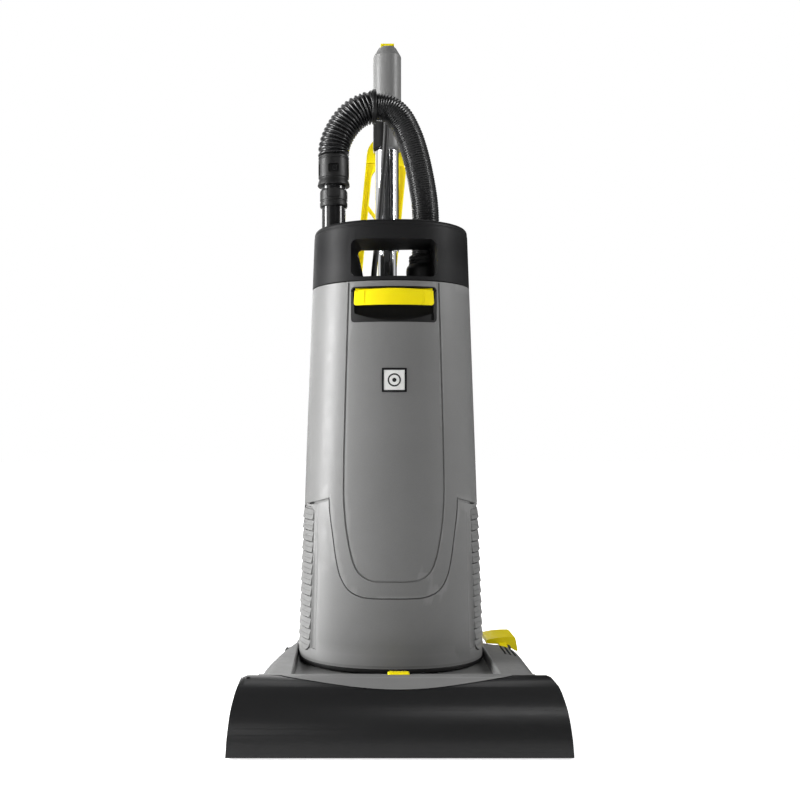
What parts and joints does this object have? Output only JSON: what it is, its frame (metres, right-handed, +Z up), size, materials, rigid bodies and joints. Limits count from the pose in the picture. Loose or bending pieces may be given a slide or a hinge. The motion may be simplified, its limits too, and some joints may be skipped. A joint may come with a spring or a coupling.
{
  "type": "upright vacuum cleaner",
  "caption": "Commercial upright vacuum cleaner: reclining tapered body on a wide brush head, telescopic handle, arched hose with parked wand, bag door and carrying bar.",
  "frame": {"origin": "on the floor, under the centre of the overall width and depth", "axes": "+X to the right seen from the front, the front faces -Y, +Z up"},
  "size_m": [0.39, 0.35, 0.926],
  "materials": {
    "shell_grey": "satin moulded grain",
    "black_plastic": "satin moulded black",
    "yellow_plastic": "semi gloss",
    "chrome_tube": "polished",
    "rubber_black": "matt",
    "hose_black": "ribbed, soft sheen",
    "zinc_steel": "bright zinc",
    "bristle_nylon": "tufted",
    "bag_fleece": "non-woven fleece",
    "filter_medium": "pleated paper",
    "motor_metal": "cast",
    "inner_plastic": "moulded",
    "badge_white": "printed film"
  },
  "bodies": {
    "head": {"head_base": "inner_plastic", "head_top_cover": "shell_grey", "bumper_strip": "rubber_black", "sole_plate": "black_plastic", "roller_bearings": "zinc_steel", "drive_belt": "rubber_black", "brush_motor": "motor_metal", "suction_duct": "inner_plastic", "wheel_axles": "zinc_steel", "front_roller_pins": "zinc_steel", "pedal_pin": "zinc_steel", "pedal_spring": "zinc_steel", "release_spring": "zinc_steel", "pivot_pins": "zinc_steel"},
    "front_cover": {"brush_cover": "black_plastic"},
    "brush": {"brush_roller": "inner_plastic", "brush_bristles": "bristle_nylon"},
    "motor_drive": {"motor_pulley": "zinc_steel"},
    "wheel_left": {"rear_wheel_left": "rubber_black"},
    "wheel_right": {"rear_wheel_right": "rubber_black"},
    "roller_left": {"front_roller_left": "rubber_black"},
    "roller_right": {"front_roller_right": "rubber_black"},
    "pedal": {"foot_pedal": "yellow_plastic"},
    "release": {"cover_release_button": "yellow_plastic"},
    "body": {"base_seal": "rubber_black", "rear_housing": "shell_grey", "lower_front_panel": "shell_grey", "top_cap": "black_plastic", "filter_bag": "bag_fleece", "bag_holder": "inner_plastic", "suction_elbow": "inner_plastic", "fan_motor": "motor_metal", "motor_filter": "filter_medium", "exhaust_filter": "filter_medium", "vent_grille_left": "shell_grey", "vent_grille_right": "shell_grey", "lower_tube": "chrome_tube", "tube_clamp": "black_plastic", "hose_cuff": "black_plastic", "hose_fine": "hose_black", "hose_coarse": "hose_black", "hose_joint_ring": "black_plastic", "cord_hook": "black_plastic", "cable_glands": "rubber_black", "switch_lead": "rubber_black"},
    "wand": {"hose_collar": "black_plastic", "wand_tube": "black_plastic", "wand_ring": "black_plastic"},
    "door": {"bag_door": "shell_grey", "door_badge": "badge_white", "latch_bezel": "black_plastic", "latch_pin": "zinc_steel"},
    "latch": {"latch_lever": "yellow_plastic"},
    "fan": {"fan_impeller": "motor_metal"},
    "handle": {"upper_tube": "chrome_tube", "grip_shell": "shell_grey", "grip_inlay": "black_plastic"},
    "switch": {"power_switch": "yellow_plastic"},
    "lock": {"lock_button": "black_plastic"},
    "winder": {"cord_winder": "yellow_plastic"}
  },
  "joints": [
    {"name": "body_recline", "type": "hinge", "parent": "head", "child": "body", "pos_m": [0, 0.06, 0.06], "axis": [-1, 0, 0], "range_deg": [0, 70]},
    {"name": "handle_slide", "type": "slide", "parent": "body", "child": "handle", "axis": [0, 0, 1], "range_m": [0, 0.22], "deforming": ["switch_lead"]},
    {"name": "wand_lift", "type": "slide", "parent": "body", "child": "wand", "axis": [0, 0, 1], "range_m": [0, 0.05], "deforming": ["hose_coarse", "hose_fine", "hose_joint_ring"]},
    {"name": "door_open", "type": "hinge", "parent": "body", "child": "door", "pos_m": [0, -0.0655, 0.1596], "axis": [1, 0, 0], "range_deg": [0, 75]},
    {"name": "latch_pull", "type": "hinge", "parent": "door", "child": "latch", "pos_m": [0, -0.055, 0.5415], "axis": [-1, 0, 0], "range_deg": [0, 12], "stiffness_Nm_per_rad": 1, "springref_deg": -5.73},
    {"name": "front_cover_pull", "type": "slide", "parent": "head", "child": "front_cover", "axis": [0, -1, 0], "range_m": [0, 0.05]},
    {"name": "cover_release_press", "type": "slide", "parent": "head", "child": "release", "axis": [0, 0, -1], "range_m": [0, 0.003], "stiffness_N_per_m": 600, "springref_m": -0.002, "deforming": ["release_spring"]},
    {"name": "pedal_press", "type": "hinge", "parent": "head", "child": "pedal", "pos_m": [0.155, 0.048, 0.0695], "axis": [-1, 0, 0], "range_deg": [0, 10], "stiffness_Nm_per_rad": 5, "springref_deg": -5.73},
    {"name": "brush_spin", "type": "hinge", "parent": "head", "child": "brush", "pos_m": [0, -0.133, 0.033], "axis": [1, 0, 0], "continuous": true},
    {"name": "motor_spin", "type": "hinge", "parent": "head", "child": "motor_drive", "pos_m": [0.15, -0.03, 0.036], "axis": [1, 0, 0], "continuous": true},
    {"name": "wheel_left_spin", "type": "hinge", "parent": "head", "child": "wheel_left", "pos_m": [-0.1375, 0.095, 0.03], "axis": [1, 0, 0], "continuous": true},
    {"name": "wheel_right_spin", "type": "hinge", "parent": "head", "child": "wheel_right", "pos_m": [0.1375, 0.095, 0.03], "axis": [1, 0, 0], "continuous": true},
    {"name": "roller_left_spin", "type": "hinge", "parent": "head", "child": "roller_left", "pos_m": [-0.11, -0.078, 0.01], "axis": [1, 0, 0], "continuous": true},
    {"name": "roller_right_spin", "type": "hinge", "parent": "head", "child": "roller_right", "pos_m": [0.11, -0.078, 0.01], "axis": [1, 0, 0], "continuous": true},
    {"name": "fan_spin", "type": "hinge", "parent": "body", "child": "fan", "pos_m": [0, -0.004, 0.17], "axis": [0, 0, 1], "continuous": true},
    {"name": "power_rocker", "type": "hinge", "parent": "handle", "child": "switch", "pos_m": [0, 0.123, 0.917], "axis": [1, 0, 0], "range_deg": [0, 12]},
    {"name": "lock_press", "type": "slide", "parent": "handle", "child": "lock", "axis": [0, -1, 0], "range_m": [0, 0.002], "stiffness_N_per_m": 600},
    {"name": "winder_swivel", "type": "hinge", "parent": "handle", "child": "winder", "pos_m": [0.003, 0.155, 0.79], "axis": [0, 1, 0], "continuous": true}
  ],
  "couplings": [
    {"joint": "motor_spin", "follows": "brush_spin", "ratio": 1.75}
  ]
}
